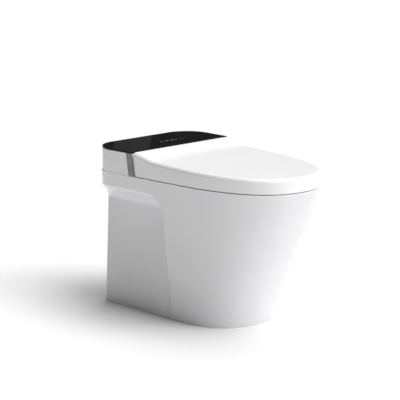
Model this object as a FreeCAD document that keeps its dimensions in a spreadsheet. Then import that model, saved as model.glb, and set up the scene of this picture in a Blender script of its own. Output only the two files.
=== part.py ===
import FreeCAD, Part
import math
import os
import re
import Sketcher
from FreeCAD import Placement, Rotation, Vector

# Floor-standing smart toilet: one glazed ceramic body, a rear housing with a glass top, and a
# heated seat and a lid that turn on one line of pins. Millimetres, +Z up, the front faces -Y,
# and the origin is on the floor at the middle of the object's box.

# ---------------------------------------------------------------- driving dimensions

SIZES = {
    # whole object
    "overall_length": 680.0,
    "overall_height": 486.0,
    "rim_height": 414.0,
    "bowl_width": 383.0,
    "rear_width": 398.0,
    "rim_corner": 76.0,
    "rim_fullness": 2.39,
    # foot of the skirt
    "foot_width": 316.0,
    "foot_setback": 168.0,
    "foot_wall_gap": 1.4,
    "foot_corner": 13.0,
    "foot_side_start": 26.0,
    "foot_fullness": 2.42,
    # recessed rear core, and the folded edge where the skirt ends in front of it
    "core_width": 287.0,
    "core_corner": 15.0,
    "flare_low": 323.0,
    "flare_high": 380.0,
    "flare_step": 0.8,
    "fold_setback": 301.0,
    "fold_height": 375.0,
    "fold_radius": 64.0,
    "fold_slant": 22.0,
    "fold_lean": 18.0,
    # ceramic walls
    "ceramic_wall": 12.0,
    "deck_wall": 18.0,
    "rear_wall": 18.0,
    # bowl and drain
    "mouth_width": 268.0,
    "mouth_front_rim": 52.0,
    "mouth_to_panel": 56.0,
    "bowl_wall": 11.0,
    "sump_width": 84.0,
    "sump_length": 112.0,
    "sump_height": 110.0,
    "sump_shift": 18.0,
    "trap_radius": 26.0,
    "trap_wall": 9.0,
    "trap_crest": 212.0,
    "trap_reach": 125.0,
    "trap_bend": 40.0,
    "outlet_to_wall": 300.0,
    "outlet_radius": 42.0,
    "outlet_straight": 34.0,
    "outlet_rise": 8.0,
    # equipment well and nozzle notch
    "well_width": 250.0,
    "well_setback": 17.0,
    "well_floor": 262.0,
    "notch_width": 150.0,
    "notch_floor": 368.0,
    "window_width": 180.0,
    "window_height": 226.0,
    # rear housing, glass top and side trims
    "panel_depth": 181.0,
    "panel_lean": 11.0,
    "panel_thick": 5.0,
    "panel_edge_round": 1.2,
    "top_corner": 83.0,
    "housing_wall": 3.0,
    "housing_gap": 0.6,
    "lid_gap": 3.2,
    "trim_width": 24.0,
    "trim_thick": 1.6,
    "fit_gap": 0.3,
    # lid
    "lid_wall": 3.2,
    "lid_side_wall": 4.5,
    "lid_seam": 2.5,
    "lid_crown": 4.0,
    "lid_plateau": 471.0,
    "lid_front_top": 456.5,
    "swoop_end": 104.0,
    "swoop_slope": 0.08,
    "lid_edge_round": 12.0,
    "lid_rear_round": 4.6,
    "liner_thick": 3.0,
    "liner_height": 446.0,
    # hinge line
    "barrel_radius": 5.4,
    "barrel_gap": 1.4,
    "pin_radius": 3.5,
    "pin_inner": 57.0,
    "pin_play": 0.06,
    "knuckle_length": 18.0,
    "knuckle_play": 0.6,
    "tower_half": 90.0,
    "post_thick": 14.0,
    "post_reach": 7.0,
    "foot_reach": 16.0,
    "foot_thick": 3.0,
    "damper_radius": 4.4,
    "damper_length": 48.0,
    # seat
    "seat_clear": 3.0,
    "seat_lift": 4.2,
    "seat_thick": 22.0,
    "seat_wall": 3.0,
    "seat_base_thick": 3.0,
    "seat_hole_width": 222.0,
    "seat_hole_front": 76.0,
    "seat_hole_rear": 94.0,
    "seat_back_gap": 20.0,
    "seat_round": 6.0,
    "heater_thick": 1.2,
    "bumper_radius": 7.0,
    # spray wand, in its own slanted frame
    "wand_slope": 25.0,
    "wand_tip_back": 43.0,
    "wand_tip_drop": 24.0,
    "wand_radius": 8.0,
    "wand_length": 165.0,
    "cradle_length": 150.0,
    "tip_length": 30.0,
    "cradle_half": 12.0,
    "rack_width": 6.0,
    "rack_seat": 6.8,
    "rack_base": 1.6,
    "gear_module": 1.25,
    "pinion_teeth": 12.0,
    "gear_backlash": 0.3,
    "pinion_back": 64.0,
    "motor_radius": 14.0,
    "motor_length": 19.0,
    # shroud below the hinge line
    "shroud_half": 70.0,
    "shroud_reach": 37.0,
    "shroud_depth": 56.0,
    "hood_reach": 16.0,
    "hood_top": 460.0,
    "shroud_wall": 2.5,
    "port_centre": 46.0,
    "port_width": 34.0,
    "port_height": 18.0,
    "port_low": 384.0,
    "flap_thick": 1.6,
    # warm-air fan
    "fan_side": 64.0,
    "fan_back": 49.0,
    "fan_radius": 27.0,
    "fan_height": 22.0,
    "fan_wall": 2.0,
    "fan_blades": 18.0,
    # chassis and what stands on it
    "chassis_thick": 3.0,
    "chassis_width": 300.0,
    "button_radius": 7.0,
    "button_travel": 2.0,
    "inlet_radius": 10.48,
    "inlet_thread": 18.0,
}

# Places that follow from the cells.
PLACES = {
    "rear_face": "overall_length / 2",
    "front_face": "0 - overall_length / 2",
    "panel_edge": "rear_face - panel_depth",
    "hinge_inset": "lid_wall + barrel_radius + barrel_gap",
    "hinge_y": "panel_edge - hinge_inset",
    "hinge_z": "overall_height - hinge_inset",
    "mouth_rear": "panel_edge - mouth_to_panel",
    "mouth_front": "front_face + mouth_front_rim",
    "mouth_middle": "(mouth_rear + mouth_front) / 2",
    "well_front": "panel_edge + well_setback",
    "well_back": "rear_face - rear_wall",
    "outlet_y": "rear_face - outlet_to_wall",
    "sump_y": "mouth_middle + sump_shift",
    "fold_y": "rear_face - fold_setback",
    "deck_top": "rim_height + chassis_thick",
    "panel_under": "overall_height - panel_thick",
    "seat_bottom": "rim_height + seat_lift",
    "seat_top": "rim_height + seat_lift + seat_thick",
    "seat_rear": "hinge_y - seat_back_gap",
    "shroud_front": "hinge_y - shroud_reach",
    "shroud_rear": "shroud_front + shroud_depth",
    "fan_y": "panel_edge + fan_back",
    "seat_inset": "lid_side_wall + seat_clear",
    "seat_middle": "(seat_rear - seat_hole_rear + front_face + seat_hole_front) / 2",
    "seat_hole_half": "(seat_rear - seat_hole_rear - front_face - seat_hole_front) / 2",
    "tip_y": "panel_edge - wand_tip_back",
    "tip_z": "rim_height - wand_tip_drop",
}

WORD = re.compile(r"[a-z][a-z_]*")

doc = FreeCAD.newDocument("SmartToilet")
sheet = doc.addObject("Spreadsheet::Sheet", "Sizes")
for row, (alias, number) in enumerate(SIZES.items(), start=1):
    sheet.set(f"A{row}", alias)
    sheet.set(f"B{row}", str(number))
    sheet.setAlias(f"B{row}", alias)
doc.recompute()


def formula(text):
    """The sheet expression for a sum of cells and places."""
    def word(match):
        name = match.group(0)
        if name in PLACES:
            return "(" + formula(PLACES[name]) + ")"
        return "Sizes." + name
    return WORD.sub(word, str(text))


def size(text):
    """The same sum as a number."""
    return float(eval_sheet(formula(text)))


def eval_sheet(expression):
    """Work out an expression of the sheet."""
    return sheet.evalExpression(expression)


# ---------------------------------------------------------------- document helpers

NODES = []


def keep(item, label):
    """Name a finished sub-part; its label names its file."""
    item.Label = label
    NODES.append(item)
    return item


def bind(item, **formulas):
    """Tie properties to the sheet; two underscores stand for a dot."""
    for path, text in formulas.items():
        item.setExpression(path.replace("__", "."), formula(text))
    return item


def block(name, left, right, front, back, low, high):
    """A box between six faces."""
    item = doc.addObject("Part::Box", name)
    bind(item, Length=f"({right}) - ({left})", Width=f"({back}) - ({front})")
    bind(item, Height=f"({high}) - ({low})", Placement__Base__x=left)
    return bind(item, Placement__Base__y=front, Placement__Base__z=low)


def rod(name, radius, length, x="0", y="0", z="0", along=Vector(0, 0, 1)):
    """A cylinder from a point along a direction."""
    item = doc.addObject("Part::Cylinder", name)
    item.Placement = Placement(Vector(), Rotation(Vector(0, 0, 1), along))
    bind(item, Radius=radius, Height=length)
    return bind(item, Placement__Base__x=x, Placement__Base__y=y, Placement__Base__z=z)


def fuse(name, *items):
    """One solid from several."""
    item = doc.addObject("Part::MultiFuse", name)
    item.Shapes = list(items)
    item.Refine = True
    return item


def cut(name, base, *tools):
    """The base less the tools."""
    item = doc.addObject("Part::Cut", name)
    item.Base = base
    item.Tool = tools[0] if len(tools) == 1 else fuse(name + "_tools", *tools)
    item.Refine = True
    return item


def feature(name, shape, place=None):
    """A form that neither a sketch nor a primitive gives."""
    item = doc.addObject("Part::Feature", name)
    item.Shape = shape
    if place:
        item.Placement = place
    return item


def upright(edge):
    """Whether an edge is a straight vertical one."""
    box = edge.BoundBox
    return box.ZLength > 1 and box.XLength < 1e-6 and box.YLength < 1e-6


# ---------------------------------------------------------------- sketch helpers

def body(name):
    """A new body."""
    return doc.addObject("PartDesign::Body", name)


def sketch(owner, role, offset="0"):
    """A sketch on one of the body's own planes, moved along that plane's normal."""
    item = owner.newObject("Sketcher::SketchObject", owner.Name + "_sketch")
    plane = next(p for p in owner.Origin.OriginFeatures if p.Role == role)
    item.AttachmentSupport = [(plane, "")]
    item.MapMode = "FlatFace"
    bind(item, AttachmentOffset__Base__z=offset)
    return item


def hold(item, kind, geometry, point, text):
    """Hold a point of the sketch at a distance from its origin."""
    number = size(text)
    index = item.addConstraint(Sketcher.Constraint(kind, -1, 1, geometry, point, number))
    item.setExpression(f"Constraints[{index}]", formula(text))


def rectangle(item, left, right, low, high):
    """A rectangle between four sides."""
    first = item.GeometryCount
    x0, x1, y0, y1 = (size(text) for text in (left, right, low, high))
    corners = [Vector(x0, y0, 0), Vector(x1, y0, 0), Vector(x1, y1, 0), Vector(x0, y1, 0)]
    for start, end in zip(corners, corners[1:] + corners[:1]):
        item.addGeometry(Part.LineSegment(start, end), False)
    for side in range(4):
        following = first + (side + 1) % 4
        item.addConstraint(Sketcher.Constraint("Coincident", first + side, 2, following, 1))
        straight = "Vertical" if side % 2 else "Horizontal"
        item.addConstraint(Sketcher.Constraint(straight, first + side))
    hold(item, "DistanceX", first, 1, left)
    hold(item, "DistanceY", first, 1, low)
    hold(item, "DistanceX", first + 2, 1, right)
    hold(item, "DistanceY", first + 2, 1, high)


def disc(item, x, y, radius):
    """A circle in a sketch."""
    centre = Vector(size(x), size(y), 0)
    index = item.addGeometry(Part.Circle(centre, Vector(0, 0, 1), size(radius)), False)
    ring = item.addConstraint(Sketcher.Constraint("Radius", index, size(radius)))
    item.setExpression(f"Constraints[{ring}]", formula(radius))
    hold(item, "DistanceX", index, 3, x)
    hold(item, "DistanceY", index, 3, y)


def pad(owner, item, length):
    """Raise a sketch."""
    step = owner.newObject("PartDesign::Pad", owner.Name + "_pad")
    step.Profile = item
    bind(step, Length=length)
    return step


def pocket(owner, item, length, back=False):
    """Sink a sketch, below its plane or, with back, above it."""
    step = owner.newObject("PartDesign::Pocket", owner.Name + "_pocket")
    step.Profile = item
    step.Reversed = back
    bind(step, Length=length)
    return step


def round_edges(owner, radius, chosen):
    """Round the chosen edges of a body."""
    doc.recompute()
    base = owner.Tip
    edges = enumerate(base.Shape.Edges, start=1)
    names = [f"Edge{index}" for index, edge in edges if chosen(edge)]
    step = owner.newObject("PartDesign::Fillet", owner.Name + "_fillet")
    step.Base = (base, names)
    bind(step, Radius=radius)


# ---------------------------------------------------------------- outlines

ROUND_PULL = 0.5523
BEND = 1 - math.sqrt(0.5)


def arc(start, middle, end):
    """An arc edge through three points."""
    return Part.Arc(start, middle, end).toShape()


def plan(side, rear, nose_y, side_y, fullness, back_y, corner, z):
    """The closed outline at one height: a full oval nose, straight sides and round corners."""
    pull = (8 * 0.5 ** (1 / fullness) - 4) / 3
    length = side_y - nose_y
    half = [(side, side_y), (side, side_y - pull * length), (side * pull, nose_y)]
    poles = [Vector(-x, y, z) for x, y in half] + [Vector(x, y, z) for x, y in reversed(half)]
    curve = Part.BSplineCurve()
    curve.buildFromPolesMultsKnots(poles, [4, 2, 4], [0, 0.5, 1], False, 3)
    bend = corner * BEND
    right = [Vector(rear, back_y - corner, z), Vector(rear - bend, back_y - bend, z)]
    right.append(Vector(rear - corner, back_y, z))
    left = [Vector(-p.x, p.y, z) for p in reversed(right)]
    edges = [curve.toShape(), Part.makeLine(poles[-1], right[0]), arc(*right)]
    edges += [Part.makeLine(right[2], left[0]), arc(*left), Part.makeLine(left[2], poles[0])]
    return Part.Wire(edges)


def between(low, high, share):
    """A value part of the way from one to another."""
    return low + (high - low) * share


def skirt_plan(inset, z):
    """The skirt's outline at a height, between the foot and the rim."""
    share = z / size("rim_height")
    side = between(size("foot_width"), size("bowl_width"), share) / 2 - inset
    rear = between(size("foot_width"), size("rear_width"), share) / 2 - inset
    nose = between(size("front_face + foot_setback"), size("front_face"), share) + inset
    start = between(size("foot_side_start"), 0, share)
    full = between(size("foot_fullness"), size("rim_fullness"), share)
    back = between(size("rear_face - foot_wall_gap"), size("rear_face"), share) - inset
    corner = max(between(size("foot_corner"), size("rim_corner"), share) - inset, 2.0)
    return plan(side, rear, nose, start, full, back, corner, z)


def upper_prism(inset, low, high):
    """The upright form that the lid, the housing and the glass share."""
    side = size("bowl_width / 2") - inset
    rear = size("rear_width / 2") - inset
    nose = size("front_face") + inset
    back = size("rear_face") - inset
    corner = size("top_corner") - inset
    wire = plan(side, rear, nose, 0, size("rim_fullness"), back, corner, low)
    return Part.Face(wire).extrude(Vector(0, 0, high - low))


def lean_prism(front_shift, back_shift, low, high, half):
    """A slab behind the leaning parting plane, from one shift of it to another."""
    top = size("panel_edge")
    run = size("panel_lean") / size("overall_height - rim_height")
    corners = []
    for shift, z in ((front_shift, low), (back_shift, low), (back_shift, high),
                     (front_shift, high)):
        y = top - (size("overall_height") - z) * run + shift
        corners.append(Vector(-half, y, z))
    wire = Part.makePolygon(corners + corners[:1])
    return Part.Face(wire).extrude(Vector(2 * half, 0, 0))


def rounded_path(points, radius):
    """Straight runs joined by tangent arcs."""
    edges = []
    start = points[0]
    for before, corner, after in zip(points, points[1:], points[2:]):
        back = (before - corner).normalize()
        ahead = (after - corner).normalize()
        half = back.getAngle(ahead) / 2
        reach = radius / math.tan(half)
        enter = corner + back * reach
        leave = corner + ahead * reach
        inward = (back + ahead).normalize()
        middle = corner + inward * (radius / math.sin(half) - radius)
        edges.append(Part.makeLine(start, enter))
        edges.append(arc(enter, middle, leave))
        start = leave
    edges.append(Part.makeLine(start, points[-1]))
    return Part.Wire(edges)


def duct_along(path, half):
    """A square bar along a path that starts level."""
    start = path.Edges[0].Vertexes[0].Point
    corners = [start + Vector(x, 0, z) for x, z in
               ((-half, -half), (half, -half), (half, half), (-half, half))]
    return path.makePipeShell([Part.makePolygon(corners + corners[:1])], True, False)


def tube_along(path, radius):
    """A round bar along a path."""
    start = path.Edges[0].Vertexes[0].Point
    along = path.Edges[0].tangentAt(path.Edges[0].FirstParameter)
    ring = Part.Wire(Part.makeCircle(radius, start, along))
    return path.makePipeShell([ring], True, False)


# ---------------------------------------------------------------- ceramic body

def core_plan(front, side_front, side_rear, back_y, corner, z):
    """The outline of the recessed rear core at one height."""
    bend = corner * BEND
    right = [Vector(side_rear, back_y - corner, z)]
    right.append(Vector(side_rear - bend, back_y - bend, z))
    right.append(Vector(side_rear - corner, back_y, z))
    left = [Vector(-p.x, p.y, z) for p in reversed(right)]
    start = Vector(side_front, front, z)
    mirror = Vector(-side_front, front, z)
    edges = [Part.makeLine(start, right[0]), arc(*right), Part.makeLine(right[2], left[0])]
    edges += [arc(*left), Part.makeLine(left[2], mirror), Part.makeLine(mirror, start)]
    return Part.Wire(edges)


FLARE_STEPS = 6
FOLD_OVERRUN = 60.0
FOLD_MARGIN = 12.0
CORE_OVERLAP = 30.0


def rear_core(inset, floor):
    """The narrow rear of the pedestal, which flares out smoothly to meet the rim."""
    front = size("fold_y") - inset - CORE_OVERLAP
    foot = size("foot_width / 2") - inset
    foot_back = size("rear_face - foot_wall_gap") - inset
    foot_corner = max(size("foot_corner") - inset, 2.0)
    waist = size("core_width / 2") - inset
    waist_back = foot_back - size("flare_step")
    waist_corner = max(size("core_corner") - inset, 2.0)
    low = size("flare_low") + inset
    high = size("flare_high") + inset
    share = high / size("rim_height")
    trim = size("flare_step") + inset
    crown = (
        between(size("foot_width"), size("bowl_width"), share) / 2 - trim,
        between(size("foot_width"), size("rear_width"), share) / 2 - trim,
        between(size("rear_face - foot_wall_gap"), size("rear_face"), share) - trim,
        between(size("foot_corner"), size("rim_corner"), share) - inset,
    )
    neck = (waist, waist, waist_back, waist_corner)
    sections = []
    for step in range(FLARE_STEPS + 1):
        share = step / FLARE_STEPS
        eased = share * share * (3 - 2 * share)
        values = [between(a, b, eased) for a, b in zip(neck, crown)]
        sections.append(core_plan(front, *values, between(low, high, share)))
    flare = Part.makeLoft(sections, True, False)
    base = core_plan(front, foot, foot, foot_back, foot_corner, floor)
    return Part.makeLoft([base, sections[0]], True, True).fuse(flare)


def fold_cutter(inset, floor):
    """What is taken from the skirt behind its folded edge; the edge's corner is an arc."""
    reach = size("rear_width / 2")
    inner = size("core_width / 2") - 24
    slant = size("fold_slant")
    lean = size("fold_lean")
    beyond = reach + FOLD_MARGIN
    outward = -slant * FOLD_MARGIN / (reach - inner)
    sections = []
    for x, shift in ((-beyond, outward), (-inner, slant), (inner, slant), (beyond, outward)):
        y = size("fold_y") - inset + shift
        z = size("fold_height") + inset - shift
        radius = size("fold_radius") + inset - shift / 2
        bend = radius * BEND
        back = size("rear_face") + FOLD_OVERRUN
        corner = [Vector(x, y, z - radius), Vector(x, y + bend, z - bend)]
        corner.append(Vector(x, y + radius, z))
        low = floor - FOLD_OVERRUN
        outer = [Vector(x, back, z), Vector(x, back, low), Vector(x, y - lean, low)]
        edges = [arc(*corner), Part.makeLine(corner[2], outer[0])]
        edges += [Part.makeLine(outer[0], outer[1]), Part.makeLine(outer[1], outer[2])]
        edges.append(Part.makeLine(outer[2], corner[0]))
        sections.append(Part.Wire(edges))
    return Part.makeLoft(sections, True, True)


def pedestal(inset, floor, top):
    """The skirt with its folded edge, and the recessed core behind it."""
    skirt = Part.makeLoft([skirt_plan(inset, floor), skirt_plan(inset, top)], True, True)
    return skirt.cut(fold_cutter(inset, floor)).fuse(rear_core(inset, floor))


def oval(half_width, half_length, y, z):
    """A closed oval, longer along the bowl than across it."""
    pull = ROUND_PULL
    quarter = [(1, 0), (1, pull), (pull, 1)]
    turns = quarter + [(-x, y) for x, y in reversed(quarter[1:])]
    turns += [(-x, -y) for x, y in quarter[1:]] + [(x, -y) for x, y in reversed(quarter)]
    poles = [Vector(half_width * x, y + half_length * ahead, z) for x, ahead in turns]
    curve = Part.BSplineCurve()
    curve.buildFromPolesMultsKnots(poles, [4, 2, 2, 2, 4], [0, 1, 2, 3, 4], False, 3)
    return Part.Wire(curve.toShape())


def bowl_form(grow, top):
    """The bowl's inside, or with a wall added its outside, as one loft of ovals."""
    half_width = size("mouth_width / 2")
    half_length = size("mouth_rear - mouth_front") / 2
    middle = size("mouth_middle")
    sump = (size("sump_width / 2"), size("sump_length / 2"), size("sump_y"))
    low = size("sump_height")
    rim = size("rim_height")
    # height above the sump as a share, and how far the oval has opened there
    stations = ((0.0, 0.0), (0.16, 0.3), (0.42, 0.66), (0.74, 0.92), (1.0, 1.0))
    sections = []
    for share, opened in stations:
        z = between(low - grow, rim, share)
        width = between(sump[0], half_width, opened) + grow
        length = between(sump[1], half_length, opened) + grow
        sections.append(oval(width, length, between(sump[2], middle, opened), z))
    bowl = Part.makeLoft(sections, True, False)
    if top <= rim:
        return bowl
    return bowl.fuse(Part.Face(sections[-1]).extrude(Vector(0, 0, top - rim)))


def trap_path():
    """The drain's line: up behind the bowl, over the weir, down and back to the floor outlet."""
    outlet = size("outlet_y")
    crest = size("trap_crest")
    low = size("sump_height + trap_radius") - 8
    back = outlet + size("trap_reach")
    straight = size("outlet_straight")
    points = [
        Vector(0, size("sump_y") - 10, low),
        Vector(0, outlet - 4, low),
        Vector(0, outlet + 64, crest),
        Vector(0, back, crest),
        Vector(0, back, straight + 78),
        Vector(0, outlet, straight + 28),
        Vector(0, outlet, straight - 14),
    ]
    return rounded_path(points, size("trap_bend"))


def outlet_form(grow):
    """The horn at the foot of the drain."""
    radius = size("outlet_radius") + grow
    neck = size("trap_radius") + grow
    straight = size("outlet_straight")
    low = size("outlet_rise") if grow else -1.0
    place = Vector(0, size("outlet_y"), low)
    horn = Part.makeCylinder(radius, straight - low, place)
    top = Vector(0, size("outlet_y"), straight)
    return horn.fuse(Part.makeCone(radius, neck, 20, top))


def chamber(left, right, front, back, low, high):
    """A box as a plain shape."""
    return Part.makeBox(right - left, back - front, high - low, Vector(left, front, low))


def make_ceramic():
    """One glazed casting: skirt, rim, bowl, trapway, equipment well and nozzle notch."""
    wall = size("ceramic_wall")
    rim = size("rim_height")
    outer = pedestal(0, 0, rim)
    hollow = pedestal(wall, -1, rim - size("deck_wall"))
    half = size("well_width / 2")
    front = size("well_front")
    back = size("well_back")
    low = size("well_floor")
    basin = chamber(-half - wall, half + wall, front - wall, back + wall, low - wall, rim - 2)
    path = trap_path()
    inner_works = bowl_form(size("bowl_wall"), rim)
    inner_works = inner_works.fuse([basin, duct_along(path, size("trap_radius + trap_wall")),
                                    outlet_form(size("trap_wall"))])
    solid = outer.cut(hollow).fuse(inner_works.common(outer))
    notch = size("notch_width / 2")
    window = size("window_width / 2")
    empties = [
        bowl_form(0, rim + 5),
        tube_along(path, size("trap_radius")),
        outlet_form(0),
        chamber(-half, half, front, back, low, rim + 5),
        chamber(-notch, notch, size("mouth_rear") - 40, front + 1, size("notch_floor"), rim + 5),
        chamber(-window, window, back - 4, back + 60, -5, size("window_height")),
    ]
    for x, y, radius in floor_holes():
        empties.append(Part.makeCylinder(radius, 60, Vector(x, y, low - 40)))
    solid = solid.cut(empties)
    return keep(feature("CeramicBody", solid), "ceramic_body")


def floor_holes():
    """Holes in the floor of the well, for the water inlet and the power gland."""
    y = size("well_back") - 24
    return [(64.0, y, size("inlet_radius + fit_gap")), (-64.0, y, 9.0 + size("fit_gap"))]


def make_outlet_seal():
    """The soft ring between the drain's horn and the floor."""
    inner = rod("SealInner", "outlet_radius + 1", "outlet_rise + 2", y="outlet_y", z="0 - 1")
    outer = rod("SealOuter", "outlet_radius + 18", "outlet_rise", y="outlet_y")
    keep(cut("OutletSeal", outer, inner), "outlet_seal")


# ---------------------------------------------------------------- rear housing and glass

SIDE_HALF = 300.0


def housing_form(inset, low, high, shift):
    """The rear upper form behind the parting plane."""
    slab = lean_prism(size("lid_gap") + shift, size("overall_length"), low - 5, high + 5, SIDE_HALF)
    return upper_prism(inset, low, high).common(slab)


def trim_band(depth, play, low, high):
    """The ring of wall that the side trims fill, over both sides."""
    ring = upper_prism(-1, low, high).cut(upper_prism(depth, low, high))
    ahead = size("lid_gap")
    slab = lean_prism(ahead, ahead + size("trim_width") + play, low - 5, high + 5, SIDE_HALF)
    middle = size("bowl_width / 2") - 30
    return ring.common(slab).cut(chamber(-middle, middle, -400, 400, low - 9, high + 9))


def button_points():
    """Where the two side buttons sit: behind the trim, at mid height of the housing."""
    return [size("panel_edge") + back for back in (78.0, 100.0)]


def make_housing():
    """The white rear cover: thin walls, open below, with a window under the glass."""
    low = size("rim_height + housing_gap")
    high = size("panel_under")
    wall = size("housing_wall")
    shell = housing_form(0, low, high, 0)
    inside = housing_form(wall, low - 1, high - wall, wall)
    mouth = size("shroud_half + fit_gap")
    edge = size("panel_edge")
    post = size("tower_half + fit_gap")
    post_rear = size("hinge_y + post_reach + fit_gap")
    foot = size("tower_half + foot_reach + fit_gap")
    foot_high = size("rim_height + foot_thick + fit_gap")
    empties = [
        inside,
        chamber(-post, post, edge - 20, post_rear, low - 1, size("hinge_z") - 14),
        chamber(-foot, foot, edge - 20, post_rear, low - 1, foot_high),
        trim_band(size("trim_thick") + 0.1, 0.1, low - 1, high + 1),
        chamber(-mouth, mouth, edge - 20, edge + 12, low - 1, size("hood_top + fit_gap")),
        chamber(-48, 48, edge + 28, edge + 72, high - wall - 1, high + 1),
    ]
    radius = size("button_radius + fit_gap")
    side = size("rear_width / 2")
    for y in button_points():
        start = Vector(side - 14, y, size("rim_height") + 34)
        empties.append(Part.makeCylinder(radius, 20, start, Vector(1, 0, 0)))
    keep(feature("RearHousing", shell.cut(empties).removeSplitter()), "rear_housing")


def make_glass():
    """The black glass top, its upper edge softly ground."""
    low = size("panel_under")
    high = size("overall_height")
    plate = housing_form(0, low, high, 0)
    rim = [e for e in plate.Edges if e.BoundBox.ZMin > high - 0.01]
    keep(feature("GlassTop", plate.makeFillet(size("panel_edge_round"), rim)), "glass_top_panel")


def make_trims():
    """The textured strip on each side, between the lid and the housing."""
    low = size("rim_height + housing_gap")
    high = size("panel_under")
    flush = upper_prism(0, low, high)
    band = trim_band(size("trim_thick"), 0, low, high).common(flush)
    for label, left, right in (("side_trim_left", -SIDE_HALF, 0), ("side_trim_right", 0, SIDE_HALF)):
        half = band.common(chamber(left, right, -400, 400, low - 5, high + 5))
        keep(feature(label, half), label)


def make_display():
    """The indicator board, in its window just under the glass."""
    owner = body("DisplayBoard")
    plane = sketch(owner, "XY_Plane", "panel_under - 5")
    rectangle(plane, "0 - 46", "46", "panel_edge + 30", "panel_edge + 70")
    pad(owner, plane, "1.6")
    screen = sketch(owner, "XY_Plane", "panel_under - 3.4")
    rectangle(screen, "0 - 30", "30", "panel_edge + 38", "panel_edge + 62")
    pad(owner, screen, "3.1")
    keep(owner, "display_board")


# ---------------------------------------------------------------- hinge line

# steps of a post's side view from the hinge line: back, and up, or None for the deck
POST_PROFILE = ((-5.4, 0), (-5.4, -14), (-11, -22), (-11, None), ("rear", None), ("rear", -22),
                (4.2, -14), (4.2, 0))


def along_x(x0, x1, radius, y, z):
    """A plain cylinder across the toilet."""
    return Part.makeCylinder(radius, x1 - x0, Vector(x0, y, z), Vector(1, 0, 0))


def make_tower():
    """The hinge bracket: two posts on the deck and a barrel that holds the pins."""
    y = size("hinge_y")
    z = size("hinge_z")
    half = size("tower_half")
    deck = size("rim_height")
    radius = size("barrel_radius")
    rear = size("post_reach")
    pieces = [along_x(-half, half, radius, y, z)]
    for side in (-1, 1):
        corners = [Vector(side * half, y + (rear if dy == "rear" else dy),
                          deck if dz is None else z + dz) for dy, dz in POST_PROFILE]
        face = Part.Face(Part.makePolygon(corners + corners[:1]))
        pieces.append(face.extrude(Vector(-side * size("post_thick"), 0, 0)))
        inner = half - size("post_thick")
        left, right = sorted((side * inner, side * (half + size("foot_reach"))))
        pieces.append(chamber(left, right, y - 17, y + rear, deck, deck + size("foot_thick")))
    solid = pieces[0].fuse(pieces[1:])
    bores = [along_x(-half - 1, half + 1, size("pin_radius") + 0.02, y, z)]
    reach = size("pin_inner")
    bores.append(along_x(-reach, reach, size("damper_radius") + 0.05, y, z))
    keep(feature("HingeTower", solid.cut(bores).removeSplitter()), "hinge_tower")


def make_pins():
    """The two pins that the lid and the seat turn on, and the dampers that slow them."""
    start = "pin_inner"
    length = "tower_half + knuckle_play * 2 + knuckle_length * 2 + 4 - pin_inner"
    across = Vector(1, 0, 0)
    right = rod("PinRight", "pin_radius", length, start, "hinge_y", "hinge_z", across)
    left = rod("PinLeft", "pin_radius", length, f"0 - ({start}) - ({length})", "hinge_y",
               "hinge_z", across)
    keep(right, "hinge_pin_right")
    keep(left, "hinge_pin_left")
    inner = "pin_inner - damper_length"
    lid = rod("LidDamper", "damper_radius", "damper_length", inner, "hinge_y", "hinge_z", across)
    seat = rod("SeatDamper", "damper_radius", "damper_length", "0 - pin_inner", "hinge_y",
               "hinge_z", across)
    keep(lid, "lid_damper")
    keep(seat, "seat_damper")


def knuckle(side, slot, bore):
    """A hinge knuckle on one side; slot 0 is next to the bracket, slot 1 outside it."""
    length = size("knuckle_length")
    play = size("knuckle_play")
    inner = size("tower_half") + play + slot * (length + play)
    left, right = sorted((side * inner, side * (inner + length)))
    radius = size("pin_radius + pin_play") if bore else size("barrel_radius")
    extra = 1 if bore else 0
    return along_x(left - extra, right + extra, radius, size("hinge_y"), size("hinge_z"))


# ---------------------------------------------------------------- lid

SWOOP_TENSION = 0.42
CAVITY_REACH = 40.0


def lid_top_wire(x, drop, sink):
    """The lid's top line in side view, closed well above it."""
    front = size("front_face") - 30
    rear = size("panel_edge") + 30
    start = size("panel_edge - swoop_end")
    end = size("panel_edge")
    high = size("overall_height") - drop
    plateau = size("lid_plateau") - drop - sink
    nose = size("lid_front_top") - drop - sink
    slope = (plateau - nose) / (start - front)
    pull = (end - start) * SWOOP_TENSION
    lean = size("swoop_slope")
    swoop = Part.BezierCurve()
    swoop.setPoles([Vector(x, start, plateau), Vector(x, start + pull, plateau + slope * pull),
                    Vector(x, end - pull, high - lean * pull), Vector(x, end, high)])
    roof = size("overall_height") + 60
    edges = [Part.makeLine(Vector(x, front, nose), Vector(x, start, plateau)), swoop.toShape()]
    edges.append(Part.makeLine(Vector(x, end, high), Vector(x, rear, high)))
    edges.append(Part.makeLine(Vector(x, rear, high), Vector(x, rear, roof)))
    edges.append(Part.makeLine(Vector(x, rear, roof), Vector(x, front, roof)))
    edges.append(Part.makeLine(Vector(x, front, roof), Vector(x, front, nose)))
    return Part.Wire(edges)


def lid_form(inset, drop, low, rear_shift):
    """The lid's solid form: an upright oval under a crowned top that rises to the glass."""
    high = size("overall_height") + 20
    reach = size("rear_width / 2") + 6
    crown = size("lid_crown")
    sections = [lid_top_wire(x, drop, sink) for x, sink in ((-reach, crown), (0, 0), (reach, crown))]
    above = Part.makeLoft(sections, True, False)
    slab = lean_prism(-size("overall_length"), rear_shift, low - 5, high + 5, SIDE_HALF)
    return upper_prism(inset, low, high).common(slab).cut(above)


def lid_cavity(play, low):
    """The room inside the lid, lower under the rounded edge than in the middle."""
    side = size("lid_side_wall") + play
    wall = size("lid_wall") + play
    eaves = size("lid_edge_round") / 2
    wide = lid_form(side, wall + eaves, low, CAVITY_REACH)
    return wide.fuse(lid_form(side + eaves, wall, low, CAVITY_REACH))


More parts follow.
